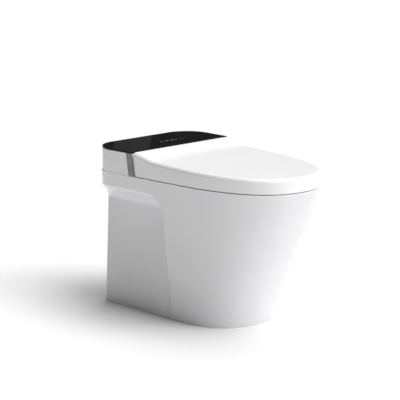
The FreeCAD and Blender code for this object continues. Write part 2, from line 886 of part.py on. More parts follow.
def make_lid():
    """The lid: a thin moulding with a deep skirt and two knuckles under its rear edge."""
    low = size("rim_height + lid_seam")
    outer = lid_form(0, 0, low, 0)
    top = [e for e in outer.Edges if on_lid_edge(e)]
    outer = outer.makeFillet(size("lid_edge_round"), top)
    rear = [e for e in outer.Edges if on_lid_rear(e)]
    outer = outer.makeFillet(size("lid_rear_round"), rear)
    shell = outer.cut(lid_cavity(0, low - 5))
    ribs = []
    for side in (-1, 1):
        ring = knuckle(side, 0, False)
        box = ring.BoundBox
        ribs.append(ring)
        ribs.append(chamber(box.XMin, box.XMax, box.YMin, box.YMax, size("hinge_z"),
                            size("overall_height - lid_wall") + 1))
    shell = shell.fuse(ribs).cut([knuckle(side, 0, True) for side in (-1, 1)])
    keep(feature("LidShell", shell.removeSplitter()), "lid_shell")


def on_lid_edge(edge):
    """Whether an edge runs round the top of the lid's skirt."""
    middle = edge.valueAt((edge.FirstParameter + edge.LastParameter) / 2)
    ends = [v.Point for v in edge.Vertexes] + [middle]
    low = size("lid_front_top") - 30
    parting = size("panel_edge") - 1
    inside = size("bowl_width / 2") - 12
    if min(p.z for p in ends) < low or min(p.y for p in ends) > parting:
        return False
    if abs(middle.x) < inside and middle.y > size("front_face") + 40:
        return False
    return abs(middle.x) > inside or middle.y < size("front_face") + 40


def on_lid_rear(edge):
    """Whether an edge is the straight rear edge of the lid's top."""
    box = edge.BoundBox
    high = size("overall_height") - 0.01
    return box.XLength > 200 and box.ZMin > high and box.YMin > size("panel_edge") - 1


def make_liner():
    """The inner panel that closes the lid below, and its soft buffers."""
    low = size("liner_height")
    plate = lid_cavity(0.1, low)
    rear = size("seat_rear") - 36
    high = low + size("liner_thick")
    plate = plate.common(chamber(-SIDE_HALF, SIDE_HALF, -400, rear, low, high))
    middle = size("seat_middle")
    rib_low = low + size("liner_thick")
    ribs = [chamber(-120, 120, y, y + 3, rib_low, rib_low + 3)
            for y in (middle - 90, middle, middle + 90)]
    keep(feature("LidLiner", plate.fuse(ribs)), "lid_liner")
    bottom = size("seat_top + fit_gap")
    buffers = [Part.makeCylinder(size("bumper_radius"), low - bottom, Vector(x, y, bottom))
               for x, y in bumper_points(-6)]
    keep(feature("LidBumpers", Part.makeCompound(buffers)), "lid_bumpers")


def bumper_points(shift):
    """Four places over the solid rim, beside the seat's hole."""
    across = (size("mouth_width / 2") + size("bowl_width / 2")) / 2 - 14 + shift
    middle = size("seat_middle")
    return [(side * across, middle + back) for side in (-1, 1) for back in (-56.0, 140.0)]


# ---------------------------------------------------------------- seat

def seat_ring(grow, low, high):
    """The seat's ring: the lid's outline drawn in, cut straight at the back, with an oval hole."""
    outer = upper_prism(size("seat_inset") - grow, low, high)
    rear = size("seat_rear") + grow
    outer = outer.common(chamber(-SIDE_HALF, SIDE_HALF, -400, rear, low - 9, high + 9))
    hole = oval(size("seat_hole_width / 2") - grow, size("seat_hole_half") - grow,
                size("seat_middle"), low - 5)
    return outer.cut(Part.Face(hole).extrude(Vector(0, 0, high - low + 10)))


def make_seat():
    """The heated seat: an upper shell with hinge arms, a base plate and a heater between."""
    low = size("seat_bottom")
    high = size("seat_top")
    wall = size("seat_wall")
    ring = seat_ring(0, low, high)
    crest = [e for e in ring.Edges if e.BoundBox.ZMin > high - 0.01]
    ring = ring.makeFillet(size("seat_round"), crest)
    shell = ring.cut(seat_ring(-wall, low - 1, high - wall))
    arms = []
    for side in (-1, 1):
        pivot = knuckle(side, 1, False)
        box = pivot.BoundBox
        rear = size("seat_rear")
        radius = size("barrel_radius")
        y = size("hinge_y")
        z = size("hinge_z")
        outline = ((rear - wall, low), (rear + 9, low), (y + radius, z), (y - radius, z),
                   (y - radius - 4, z - 12), (rear - wall, high - size("seat_round")))
        corners = [Vector(box.XMin, *point) for point in outline]
        face = Part.Face(Part.makePolygon(corners + corners[:1]))
        arms += [pivot, face.extrude(Vector(box.XLength, 0, 0))]
    shell = shell.fuse(arms).cut([knuckle(side, 1, True) for side in (-1, 1)])
    keep(feature("SeatShell", shell.removeSplitter()), "seat_upper_shell")
    base = seat_ring(-wall - 0.1, low, low + size("seat_base_thick"))
    keep(feature("SeatBase", base), "seat_base")
    under = high - wall - size("fit_gap")
    heater = seat_ring(-wall - 12, under - size("heater_thick"), under)
    keep(feature("SeatHeater", heater), "seat_heater")
    start = size("rim_height + fit_gap")
    pads = [Part.makeCylinder(size("bumper_radius"), low - start, Vector(x, y, start))
            for x, y in bumper_points(0)]
    keep(feature("SeatBumpers", Part.makeCompound(pads)), "seat_bumpers")


# ---------------------------------------------------------------- spray wand

def wand_place():
    """The slanted frame of the wand: its tip at the origin, +Y back up the slope."""
    return Placement(Vector(0, size("tip_y"), size("tip_z")),
                     Rotation(Vector(1, 0, 0), size("wand_slope")))


def along_y(y0, y1, radius, x=0.0, z=0.0):
    """A plain cylinder along the wand."""
    return Part.makeCylinder(radius, y1 - y0, Vector(x, y0, z), Vector(0, 1, 0))


def make_wand():
    """The wand: a round tube with a flat for its rack, and a tip with spray holes."""
    radius = size("wand_radius")
    back = size("wand_length")
    tip = size("tip_length")
    seat = size("rack_seat")
    half = size("rack_width / 2")
    tube = along_y(tip, back, radius).cut(along_y(tip - 1, back + 1, radius - 2.2))
    shelf = chamber(-half - 1.5, half + 1.5, tip, back - 4, seat - 1.6, seat)
    tube = tube.fuse(shelf)
    tube = tube.cut(chamber(-half - 0.1, half + 0.1, tip + 2, back + 1, seat, radius + 1))
    tube = tube.common(along_y(tip - 1, back + 1, radius))
    keep(feature("WandTube", tube.removeSplitter(), wand_place()), "wand_tube")
    nose = along_y(0, tip, radius - 0.2)
    edge = [e for e in nose.Edges if e.BoundBox.YMax < 0.01 and e.BoundBox.YLength < 0.01]
    nose = nose.makeChamfer(2.2, edge)
    flat = chamber(-9, 9, 3, tip - 6, radius - 1.4, radius + 2)
    jets = [Part.makeCylinder(0.9, 6, Vector(x, 9 + 3.2 * row, radius - 6), Vector(0, -0.2, 1))
            for row in range(3) for x in (-2.4, 0, 2.4)]
    keep(feature("WandTip", nose.cut([flat] + jets), wand_place()), "wand_tip")


def pinion_centre():
    """The height of the pinion's axis above the wand's axis."""
    module = size("gear_module")
    pitch = module * size("pinion_teeth") / 2
    return size("rack_seat + rack_base") + 1.25 * module + pitch


TOOTH_SLOPE = math.tan(math.radians(20))


def make_rack():
    """The rack in the wand's flat; a gap of its teeth lies under the pinion at rest."""
    module = size("gear_module")
    pitch = math.pi * module
    base = size("rack_seat")
    root = base + size("rack_base")
    line = root + 1.25 * module
    crest = line + module
    half_pitch = pitch / 4 - size("gear_backlash") / 2
    start = size("tip_length") + 3
    end = size("wand_length") - 2
    middle = size("pinion_back")
    first = math.ceil((start - middle) / pitch) + 1
    last = math.floor((end - middle) / pitch) - 1
    outline = [Vector(0, start, base), Vector(0, start, root)]
    for count in range(first, last + 1):
        y = middle + count * pitch
        wide = half_pitch + (line - root) * TOOTH_SLOPE
        slim = half_pitch - (crest - line) * TOOTH_SLOPE
        outline += [Vector(0, y - wide, root), Vector(0, y - slim, crest)]
        outline += [Vector(0, y + slim, crest), Vector(0, y + wide, root)]
    outline += [Vector(0, end, root), Vector(0, end, base)]
    half = size("rack_width / 2")
    face = Part.Face(Part.makePolygon(outline + outline[:1]))
    face.translate(Vector(-half, 0, 0))
    keep(feature("WandRack", face.extrude(Vector(2 * half, 0, 0)), wand_place()), "wand_rack")


def make_pinion():
    """The pinion that drives the rack, on its motor's shaft; a gap faces down at rest."""
    module = size("gear_module")
    teeth = int(size("pinion_teeth"))
    pitch = module * teeth / 2
    root = pitch - 1.25 * module
    crest = pitch + module * 0.92
    step = 2 * math.pi / teeth
    half = math.pi / 2 / teeth - size("gear_backlash") / 2 / pitch
    profile = ((root, 1.75 * half), (pitch, half), (crest, 0.42 * half))
    outline = []
    for count in range(teeth):
        middle = -math.pi / 2 + (count + 0.5) * step
        turns = [(r, middle - a) for r, a in profile] + [(r, middle + a) for r, a in profile[::-1]]
        outline += [Vector(0, r * math.cos(a), r * math.sin(a)) for r, a in turns]
    half_width = size("rack_width / 2") - 0.5
    face = Part.Face(Part.makePolygon(outline + outline[:1]))
    face.translate(Vector(-half_width, 0, 0))
    gear = face.extrude(Vector(2 * half_width, 0, 0))
    gear = gear.cut(along_x(-9, 9, 2.06, 0, 0))
    place = wand_place().multiply(Placement(Vector(0, size("pinion_back"), pinion_centre()),
                                            Rotation()))
    keep(feature("WandPinion", gear, place), "wand_pinion")
    motor = along_x(-14 - size("motor_length"), -14, size("motor_radius"), 0, 0)
    motor = motor.fuse([along_x(-14.5, 4.5, 2.0, 0, 0), along_x(-14, -12, 5, 0, 0)])
    keep(feature("WandMotor", motor, place), "wand_motor")


def make_cradle():
    """The channel the wand slides in, slotted for the rack and cut away at the pinion."""
    half = size("cradle_half")
    radius = size("wand_radius + fit_gap")
    length = size("cradle_length")
    slot = size("rack_width / 2") + 1.6
    block_low = -half
    channel = chamber(-half, half, 9, length, block_low, half - 2)
    channel = channel.cut([along_y(0, length + 1, radius),
                           chamber(-slot, slot, 0, length + 1, 0, half)])
    pinion = size("pinion_back")
    lug = chamber(-14, -half + 0.01, pinion - 9, pinion + 9, -4, pinion_centre() + 8)
    lug = lug.cut(along_x(-20, 0, 5.3, pinion, pinion_centre()))
    reach = size("gear_module * pinion_teeth / 2 + gear_module + 1")
    well = along_x(-half + 0.01, half, reach, pinion, pinion_centre())
    solid = channel.cut(well).fuse(lug)
    keep(feature("NozzleCradle", solid.removeSplitter(), wand_place()), "nozzle_cradle")


def make_stand():
    """The slanted block on the chassis that carries the cradle's rear end."""
    slope = math.radians(size("wand_slope"))
    below = size("cradle_half") / math.cos(slope)
    corners = []
    for back in (84.0, 98.0):
        y = size("tip_y") + back + 26
        z = size("tip_z") + (back + 26) * math.tan(slope) - below
        corners.append(Vector(-10, y, z))
    low = size("deck_top")
    outline = [corners[0], corners[1], Vector(-10, corners[1].y, low), Vector(-10, corners[0].y, low)]
    face = Part.Face(Part.makePolygon(outline + outline[:1]))
    keep(feature("CradleStand", face.extrude(Vector(20, 0, 0))), "cradle_stand")


# ---------------------------------------------------------------- shroud, dryer and deodoriser

def make_shroud():
    """The moulded front under the hinge line, with the wand, dryer and air ports."""
    half = size("shroud_half")
    front = size("shroud_front")
    rear = size("shroud_rear")
    low = size("notch_floor") + 0.5
    shelf = size("rim_height") - 1
    hood = size("hinge_y - hood_reach")
    top = size("hood_top")
    wall = size("shroud_wall")
    outer = chamber(-half, half, front, rear, low, shelf)
    outer = outer.fuse(chamber(-half, half, hood, rear, low, top)).removeSplitter()
    corners = [e for e in outer.Edges if e.BoundBox.XLength > 100 and e.BoundBox.YMax < hood + 1
               and e.BoundBox.ZMin > shelf - 1]
    outer = outer.makeFillet(2.0, [e for e in corners if not inner_corner(e, hood, shelf)])
    inner = chamber(-half + wall, half - wall, front + wall, rear + 1, low + wall, shelf - wall)
    inner = inner.fuse(chamber(-half + wall, half - wall, hood + wall, rear + 1, low + wall,
                               top - wall))
    hole = along_y(-20, 20, size("wand_radius") + 0.6)
    crest = size("rack_seat + rack_base + 2.25 * gear_module") + 0.6
    rack = size("rack_width / 2") + 0.5
    hole = hole.fuse(chamber(-rack, rack, -20, 32, 0, crest))
    hole.Placement = wand_place()
    centre = size("port_centre")
    port = size("port_width / 2")
    low_port = size("port_low")
    high_port = low_port + size("port_height")
    empties = [inner, hole]
    empties.append(chamber(centre - port, centre + port, front - 1, front + wall + 1, low_port,
                           high_port))
    axis_z = high_port - 1.6
    empties.append(along_x(centre - port - 1.6, centre + port + 1.6, 0.9, front + 1.3, axis_z))
    for count in range(6):
        z = low_port + 1 + count * 3
        empties.append(chamber(-centre - port + 3, -centre + port - 3, front - 1, front + wall + 1,
                               z, z + 1.4))
    keep(feature("FrontShroud", outer.cut(empties).removeSplitter()), "front_shroud")


def inner_corner(edge, hood, shelf):
    """Whether an edge is the inside corner between the shelf and the hood."""
    box = edge.BoundBox
    return abs(box.YMin - hood) < 0.01 and abs(box.ZMin - shelf) < 0.01


def make_flap():
    """The dryer's flap, hung on two stub pins in the port."""
    centre = size("port_centre")
    port = size("port_width / 2") - 0.4
    front = size("shroud_front")
    high = size("port_low + port_height")
    axis_y = front + 1.3
    axis_z = high - 1.6
    thick = size("flap_thick")
    plate = chamber(centre - port, centre + port, axis_y - thick / 2, axis_y + thick / 2,
                    size("port_low") + 0.5, axis_z)
    barrel = along_x(centre - port, centre + port, 1.2, axis_y, axis_z)
    pins = along_x(centre - port - 1.6, centre + port + 1.6, 0.82, axis_y, axis_z)
    keep(feature("DryerFlap", plate.fuse([barrel, pins]).removeSplitter()), "dryer_flap")


def rectangle_wire(left, right, low, high, y):
    """A rectangle across the toilet."""
    corners = [Vector(left, y, low), Vector(right, y, low), Vector(right, y, high),
               Vector(left, y, high)]
    return Part.makePolygon(corners + corners[:1])


def make_duct():
    """The duct that drops from the fan to the dryer's port, under the hood's corner."""
    centre = size("port_centre")
    half = size("port_width / 2") - 1
    low = size("port_low")
    deck = size("deck_top")
    wall = size("fan_wall")
    front = size("shroud_front + shroud_wall") + 0.3
    bend = size("hinge_y - hood_reach + shroud_wall") + 1
    rear = size("shroud_rear") + 1
    tall = size("port_height")
    sections = ((front, low), (bend, low + 7.5), (rear, deck + 1.5))
    outer = [rectangle_wire(centre - half, centre + half, z, z + tall, y) for y, z in sections]
    longer = [(y + extra, z + extra * slope) for (y, z), extra, slope in
              zip(sections, (-1, 0, 1), (0.34, 0, 0.8))]
    inner = [rectangle_wire(centre - half + wall, centre + half - wall, z + wall,
                            z + tall - wall, y) for y, z in longer]
    duct = Part.makeLoft(outer, True, True).cut(Part.makeLoft(inner, True, True))
    keep(feature("DryerDuct", duct), "dryer_duct")


def fan_centre():
    """The fan's axis on the chassis."""
    return size("fan_side"), size("fan_y")


def make_fan():
    """The fan: a scroll with an outlet box, an open inlet, a wheel and its motor."""
    x, y = fan_centre()
    low = size("deck_top")
    wall = size("fan_wall")
    height = size("fan_height")
    inner = size("fan_radius") + 5
    outer = inner + wall
    left = x - outer
    right = left + size("port_width") - 2
    front = size("shroud_rear") + 1.2
    shell = Part.makeCylinder(outer, height, Vector(x, y, low))
    shell = shell.fuse(chamber(left, right, front, y, low, low + height))
    hollow = Part.makeCylinder(inner, height - 2 * wall, Vector(x, y, low + wall))
    channel = chamber(left + wall, right - wall, front - 1, y, low + wall, low + height - wall)
    inlet = Part.makeCylinder(inner - 13, 10, Vector(x, y, low + height - 5))
    shaft = Part.makeCylinder(2.4, 10, Vector(x, y, low - 5))
    shell = shell.cut([hollow.fuse(channel), inlet, shaft])
    keep(feature("FanHousing", shell.removeSplitter()), "fan_housing")
    make_fan_wheel(x, y)
    heater = chamber(left + wall + 0.4, right - wall - 0.4, front + 4, front + 7, low + wall + 0.2,
                     low + height - wall - 0.4)
    gaps = [chamber(left + wall + 3, right - wall - 3, front, front + 9, z, z + 2.2)
            for z in (low + 5, low + 9.5, low + 14)]
    keep(feature("DryerHeater", heater.cut(gaps)), "dryer_heater")


def make_fan_wheel(x, y):
    """The wheel: a back plate, a ring of blades from a polar pattern, a front ring and a hub."""
    owner = body("FanWheel")
    low = size("deck_top + fan_wall") + 1.5
    bind(owner, Placement__Base__x="fan_side", Placement__Base__y="fan_y")
    bind(owner, Placement__Base__z="deck_top + fan_wall + 1.5")
    plate = sketch(owner, "XY_Plane")
    disc(plate, "0", "0", "fan_radius")
    pad(owner, plate, "1.4")
    blade = sketch(owner, "XY_Plane", "1.4")
    rectangle(blade, "fan_radius - 7", "fan_radius - 0.6", "0 - 0.5", "0.5")
    vane = pad(owner, blade, "fan_height - 2 * fan_wall - 5.4")
    doc.recompute()
    pattern = owner.newObject("PartDesign::PolarPattern", "FanBlades")
    pattern.Originals = [vane]
    pattern.Axis = (plate, ["N_Axis"])
    pattern.Angle = 360
    pattern.Occurrences = int(size("fan_blades"))
    owner.Tip = pattern
    doc.recompute()
    ring = sketch(owner, "XY_Plane", "fan_height - 2 * fan_wall - 4.4")
    disc(ring, "0", "0", "fan_radius")
    disc(ring, "0", "0", "fan_radius - 7")
    pad(owner, ring, "1.2")
    hub = sketch(owner, "XY_Plane", "1.4")
    disc(hub, "0", "0", "5")
    pad(owner, hub, "5")
    bore = sketch(owner, "XY_Plane")
    disc(bore, "0", "0", "2.05")
    pocket(owner, bore, "12", back=True)
    keep(owner, "fan_wheel")
    motor = rod("FanMotorCan", "15", "18", "fan_side", "fan_y", "deck_top - chassis_thick - 18")
    shaft = rod("FanMotorShaft", "2", "12.5", "fan_side", "fan_y", "deck_top - chassis_thick")
    keep(fuse("FanMotor", motor, shaft), "fan_motor")


def make_deodoriser():
    """The carbon cartridge behind the air slots."""
    owner = body("Deodoriser")
    plane = sketch(owner, "XY_Plane", "notch_floor + 0.5 + shroud_wall")
    rectangle(plane, "0 - port_centre - 18", "0 - port_centre + 18",
              "shroud_front + shroud_wall + 0.3", "shroud_front + shroud_wall + 40")
    pad(owner, plane, "28")
    grip = sketch(owner, "XY_Plane", "notch_floor + 0.5 + shroud_wall + 28")
    rectangle(grip, "0 - port_centre - 8", "0 - port_centre + 8",
              "shroud_front + shroud_wall + 12", "shroud_front + shroud_wall + 32")
    pocket(owner, grip, "3")
    round_edges(owner, "2.5", upright)
    keep(owner, "deodoriser_cartridge")


# ---------------------------------------------------------------- chassis and equipment

def make_chassis():
    """The tray that covers the well and carries the equipment."""
    owner = body("Chassis")
    plane = sketch(owner, "XY_Plane", "rim_height")
    rectangle(plane, "0 - chassis_width / 2", "chassis_width / 2", "shroud_rear + 1", "well_back")
    pad(owner, plane, "chassis_thick")
    slot = sketch(owner, "XY_Plane", "rim_height")
    rectangle(slot, "0 - cradle_half - 4", "cradle_half + 4", "shroud_rear", "shroud_rear + 38")
    pocket(owner, slot, "chassis_thick + 5", back=True)
    holes = sketch(owner, "XY_Plane", "rim_height")
    disc(holes, "fan_side", "fan_y", "4")
    disc(holes, "64", "well_back - 24", "6.3")
    disc(holes, "0 - 64", "well_back - 24", "6.3")
    pocket(owner, holes, "chassis_thick + 5", back=True)
    doc.recompute()
    rib = sketch(owner, "XY_Plane", "rim_height + chassis_thick")
    rectangle(rib, "0 - chassis_width / 2", "chassis_width / 2", "well_back - 2.5", "well_back")
    pad(owner, rib, "8")
    keep(owner, "chassis_tray")


def make_heater():
    """The instant water heater, with cooling ribs and two ports."""
    owner = body("InstantHeater")
    plane = sketch(owner, "XY_Plane", "deck_top")
    rectangle(plane, "0 - 140", "0 - 92", "panel_edge + 44", "panel_edge + 134")
    pad(owner, plane, "40")
    round_edges(owner, "6", upright)
    rib = sketch(owner, "XY_Plane", "deck_top + 40")
    rectangle(rib, "0 - 136", "0 - 96", "panel_edge + 50", "panel_edge + 52.4")
    fin = pad(owner, rib, "4")
    doc.recompute()
    pattern = owner.newObject("PartDesign::LinearPattern", "HeaterRibs")
    pattern.Originals = [fin]
    pattern.Direction = (rib, ["V_Axis"])
    pattern.Length = 70
    pattern.Occurrences = 8
    owner.Tip = pattern
    doc.recompute()
    port = sketch(owner, "XZ_Plane", "0 - panel_edge - 134")
    disc(port, "0 - 116", "deck_top + 14", "5")
    disc(port, "0 - 116", "deck_top + 30", "5")
    tubes = pad(owner, port, "10")
    tubes.Reversed = True
    keep(owner, "instant_heater")


def make_control_box():
    """The box of the main board, with a lid line and three plug sockets."""
    owner = body("ControlBox")
    plane = sketch(owner, "XY_Plane", "deck_top")
    rectangle(plane, "0 - 84", "26", "well_back - 48", "well_back - 4")
    pad(owner, plane, "44")
    round_edges(owner, "4", upright)
    for left in (-72, -44, -16):
        socket = sketch(owner, "XZ_Plane", "0 - well_back + 48")
        rectangle(socket, str(left) if left > 0 else f"0 - {-left}", f"0 - {-left - 14}",
                  "deck_top + 10", "deck_top + 20")
        recess = pocket(owner, socket, "5")
    keep(owner, "control_box")


def make_valve():
    """The inlet solenoid valve: a body over the riser, with its coil on top."""
    owner = body("InletValve")
    plane = sketch(owner, "XY_Plane", "deck_top")
    rectangle(plane, "46", "84", "well_back - 40", "well_back - 8")
    pad(owner, plane, "22")
    round_edges(owner, "4", upright)
    coil = sketch(owner, "XY_Plane", "deck_top + 22")
    disc(coil, "64", "well_back - 24", "12")
    pad(owner, coil, "20")
    stem = sketch(owner, "XY_Plane", "deck_top + 42")
    disc(stem, "64", "well_back - 24", "5")
    pad(owner, stem, "5")
    keep(owner, "inlet_valve")


def make_inlet():
    """The water inlet: a threaded tail under the well, a flange and a riser to the valve."""
    owner = body("WaterInlet")
    bind(owner, Placement__Base__x="64", Placement__Base__y="well_back - 24")
    tail = sketch(owner, "XY_Plane", "well_floor - ceramic_wall - inlet_thread")
    disc(tail, "0", "0", "inlet_radius")
    pad(owner, tail, "inlet_thread")
    neck = sketch(owner, "XY_Plane", "well_floor - ceramic_wall")
    disc(neck, "0", "0", "inlet_radius - 0.5")
    pad(owner, neck, "ceramic_wall")
    flange = sketch(owner, "XY_Plane", "well_floor")
    disc(flange, "0", "0", "15")
    pad(owner, flange, "5")
    riser = sketch(owner, "XY_Plane", "well_floor + 5")
    disc(riser, "0", "0", "6")
    pad(owner, riser, "deck_top - well_floor - 5")
    bore = sketch(owner, "XY_Plane", "well_floor - ceramic_wall - inlet_thread")
    disc(bore, "0", "0", "4.5")
    pocket(owner, bore, "deck_top - well_floor + ceramic_wall + inlet_thread + 5", back=True)
    keep(owner, "water_inlet")


def make_gland():
    """The power gland in the floor of the well: a flanged bush with a nut below."""
    y = "well_back - 24"
    neck = rod("GlandNeck", "9", "ceramic_wall + 12", "0 - 64", y, "well_floor - ceramic_wall - 12")
    collar = rod("GlandCollar", "13", "4", "0 - 64", y, "well_floor")
    nut = rod("GlandNut", "13", "6", "0 - 64", y, "well_floor - ceramic_wall - 6")
    hole = rod("GlandHole", "4", "80", "0 - 64", y, "well_floor - 50")
    keep(cut("PowerGland", fuse("GlandBody", neck, collar, nut), hole), "power_gland")


def make_tank():
    """The booster tank on the floor of the well, banded, with four feet."""
    owner = body("BoosterTank")
    plane = sketch(owner, "XY_Plane", "well_floor + 6")
    rectangle(plane, "0 - 118", "10", "well_front + 8", "well_back - 44")
    pad(owner, plane, "120")
    round_edges(owner, "16", upright)
    for height in ("38", "78"):
        band = sketch(owner, "XY_Plane", f"well_floor + {height}")
        rectangle(band, "0 - 110", "2", "well_front + 6.5", "well_back - 42.5")
        pad(owner, band, "6")
    feet = sketch(owner, "XY_Plane", "well_floor")
    for x in ("0 - 98", "0 - 10"):
        for y in ("well_front + 28", "well_back - 64"):
            disc(feet, x, y, "8")
    pad(owner, feet, "7")
    keep(owner, "booster_tank")


def make_pump():
    """The flush pump: a scroll on a flange, its motor above and its outlet to the front."""
    x, y = "60", "well_front + 46"
    flange = rod("PumpFlange", "36", "5", x, y, "well_floor")
    scroll = rod("PumpScroll", "31", "30", x, y, "well_floor + 5")
    motor = rod("PumpMotor", "24", "74", x, y, "well_floor + 35")
    cap = rod("PumpCap", "16", "6", x, y, "well_floor + 109")
    spout = rod("PumpSpout", "9", "44", "86", y, "well_floor + 20", Vector(0, -1, 0))
    keep(fuse("FlushPump", flange, scroll, motor, cap, spout), "flush_pump")


def make_diverter():
    """The diverter that sends the flush to the rim or to the jet, with its gear motor."""
    owner = body("Diverter")
    plane = sketch(owner, "XY_Plane", "well_floor")
    rectangle(plane, "82", "120", "well_back - 50", "well_back - 6")
    pad(owner, plane, "54")
    round_edges(owner, "5", upright)
    motor = sketch(owner, "XY_Plane", "well_floor + 54")
    disc(motor, "101", "well_back - 28", "14")
    pad(owner, motor, "24")
    keep(owner, "flush_diverter")


def make_buttons():
    """The power and manual-flush buttons in the housing's side, and their switch block."""
    z = "rim_height + 34"
    for label, back in (("power_button", "78"), ("flush_button", "100")):
        y = f"panel_edge + {back}"
        across = Vector(1, 0, 0)
        cap = rod(label + "_cap", "button_radius", "8.6", "rear_width / 2 - 10.4", y, z, across)
        rim = rod(label + "_rim", "button_radius + 1.6", "1.4", "rear_width / 2 - 10.4", y, z, across)
        stem = rod(label + "_stem", "3.5", "6", "rear_width / 2 - 16.4", y, z, across)
        keep(fuse(label + "_all", cap, rim, stem), label)
    case = block("SwitchCase", "rear_width / 2 - 28", "rear_width / 2 - 16.8 - button_travel",
                 "panel_edge + 66", "panel_edge + 112", "rim_height", "rim_height + 44")
    keep(case, "button_switches")


def make_all():
    """Build every sub-part."""
    make_ceramic()
    make_outlet_seal()
    make_housing()
    make_glass()
    make_trims()
    make_display()
    make_tower()
    make_pins()
    make_lid()
    make_liner()
    make_seat()
    make_wand()
    make_rack()
    make_pinion()
    make_cradle()
    make_stand()
    make_shroud()
    make_flap()
    make_duct()
    make_fan()
    make_deodoriser()
    make_chassis()
    make_heater()
    make_control_box()
    make_valve()
    make_inlet()
    make_gland()
    make_tank()
    make_pump()
    make_diverter()
    make_buttons()


def check_and_write():
    """Refuse a document with a failed object, then write each sub-part."""
    doc.recompute()
    bad = [o.Label for o in doc.Objects if "Invalid" in o.State or "Error" in o.State]
    bad += [o.Label for o in NODES if o.Shape.isNull() or not o.Shape.isValid()]
    if bad:
        raise RuntimeError("failed: " + ", ".join(bad))
    os.makedirs("parts", exist_ok=True)
    for item in NODES:
        item.Shape.exportStep(os.path.join("parts", item.Label + ".step"))
        box = item.Shape.optimalBoundingBox(False)
        print(item.Label, len(item.Shape.Solids), round(item.Shape.Volume / 1000, 1), "cm3",
              [round(v, 1) for v in (box.XMin, box.XMax, box.YMin, box.YMax, box.ZMin, box.ZMax)])


make_all()
check_and_write()
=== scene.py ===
# %% [markdown]
# # A smart toilet with a heated seat, finished in Blender
# The toilet stands on the floor in one glazed ceramic piece. A white housing under a black
# glass top closes the rear, and a white lid covers a heated seat. The construction model brings
# every piece at its true size, so this lesson gives each piece its finish, and adds what is too
# small for construction: the strips' grip studs, the seat's screws and the display's signs.

import math

import bpy
from mathutils import Matrix, Vector


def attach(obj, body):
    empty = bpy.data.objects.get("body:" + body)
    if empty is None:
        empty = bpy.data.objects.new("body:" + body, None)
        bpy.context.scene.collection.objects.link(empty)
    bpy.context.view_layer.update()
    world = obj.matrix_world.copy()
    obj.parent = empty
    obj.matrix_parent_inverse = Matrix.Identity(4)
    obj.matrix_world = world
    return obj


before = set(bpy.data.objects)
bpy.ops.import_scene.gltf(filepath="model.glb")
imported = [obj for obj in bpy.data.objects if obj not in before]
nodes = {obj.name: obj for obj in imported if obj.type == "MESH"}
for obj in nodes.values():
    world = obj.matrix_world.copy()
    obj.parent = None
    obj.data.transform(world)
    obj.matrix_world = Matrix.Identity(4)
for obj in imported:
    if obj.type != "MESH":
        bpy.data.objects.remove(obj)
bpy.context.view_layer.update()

# %% [markdown]
# ## The camera
# A long lens far away gives the nearly parallel look of a catalogue picture. The viewer stands
# front left and a little above the lid. The two shifts slide the film, not the lens, so the
# toilet sits right of the middle and its sides stay upright.

# %% Camera
AIM = Vector((0.0, 0.0, 0.240))
AZIMUTH = math.radians(-44.97)
ELEVATION = math.radians(13.53)
DISTANCE = 4.3376
LENS = 132.64
FILM_SHIFT = (-0.0475, 0.0828)

back = Vector(
    (
        math.sin(AZIMUTH) * math.cos(ELEVATION),
        -math.cos(AZIMUTH) * math.cos(ELEVATION),
        math.sin(ELEVATION),
    )
)
camera = bpy.data.objects.new("camera", bpy.data.cameras.new("camera"))
bpy.context.scene.collection.objects.link(camera)
camera.location = AIM + DISTANCE * back
camera.rotation_euler = back.to_track_quat("Z", "Y").to_euler()
camera.data.lens = LENS
camera.data.shift_x, camera.data.shift_y = FILM_SHIFT
bpy.context.scene.camera = camera
bpy.context.scene.view_settings.view_transform = "Standard"
print("camera at", [round(c, 3) for c in camera.location])

# %% [markdown]
# ## Wires: shader sums written as Python
# A material is a graph of nodes. Linking hundreds of sockets by hand hides the idea, so one small
# class wraps a socket and lets Python's operators add the Math nodes. Every other node comes
# from its one method, which takes the node's type, its settings and its sockets.


# %% The wire class
class Wire:
    """A socket that takes part in Python sums."""

    def __init__(self, tree, socket):
        self.tree = tree
        self.socket = socket

    @staticmethod
    def node(tree, kind, settings=None, sockets=None, output=0):
        """One node: its settings come first, then the values and links of its sockets."""
        made = tree.nodes.new("ShaderNode" + kind)
        for name, value in (settings or {}).items():
            setattr(made, name, value)
        for key, value in (sockets or {}).items():
            if isinstance(value, Wire):
                tree.links.new(value.socket, made.inputs[key])
            else:
                made.inputs[key].default_value = value
        return Wire(tree, made.outputs[output])

    def output(self, name):
        """Another output of the same node."""
        return Wire(self.tree, self.socket.node.outputs[name])

    def math(self, operation, *values):
        """A Math node on wires and numbers."""
        sockets = dict(enumerate(values))
        return Wire.node(self.tree, "Math", {"operation": operation}, sockets)

    def __add__(self, other):
        return self.math("ADD", self, other)

    __radd__ = __add__

    def __sub__(self, other):
        return self.math("SUBTRACT", self, other)

    def __rsub__(self, other):
        return self.math("SUBTRACT", other, self)

    def __mul__(self, other):
        return self.math("MULTIPLY", self, other)

    __rmul__ = __mul__

    def __truediv__(self, other):
        return self.math("DIVIDE", self, other)

    def __abs__(self):
        return self.math("ABSOLUTE", self)

    def root(self):
        return self.math("SQRT", self)

    def step(self, edge, soft):
        """0 below the edge and 1 above it, over a soft width."""
        grown = (self - (edge - soft / 2)) / soft
        return grown.math("MINIMUM", grown.math("MAXIMUM", grown, 0.0), 1.0)


print("wires ready")

# %% [markdown]
# ## A finish
# A finish is a material with a plan: numbers that are the same all over go straight on the
# shader's own sockets, and only colour, roughness and normal vary over the surface. Patterns
# read Object coordinates, which here are metres in the toilet's own frame. A Bevel node bends
# the normal near an edge, so that a sharp arris catches the light as a rounded one does.


# %% The finish helpers
FINISHES = {}
BEVEL_SAMPLES = 8


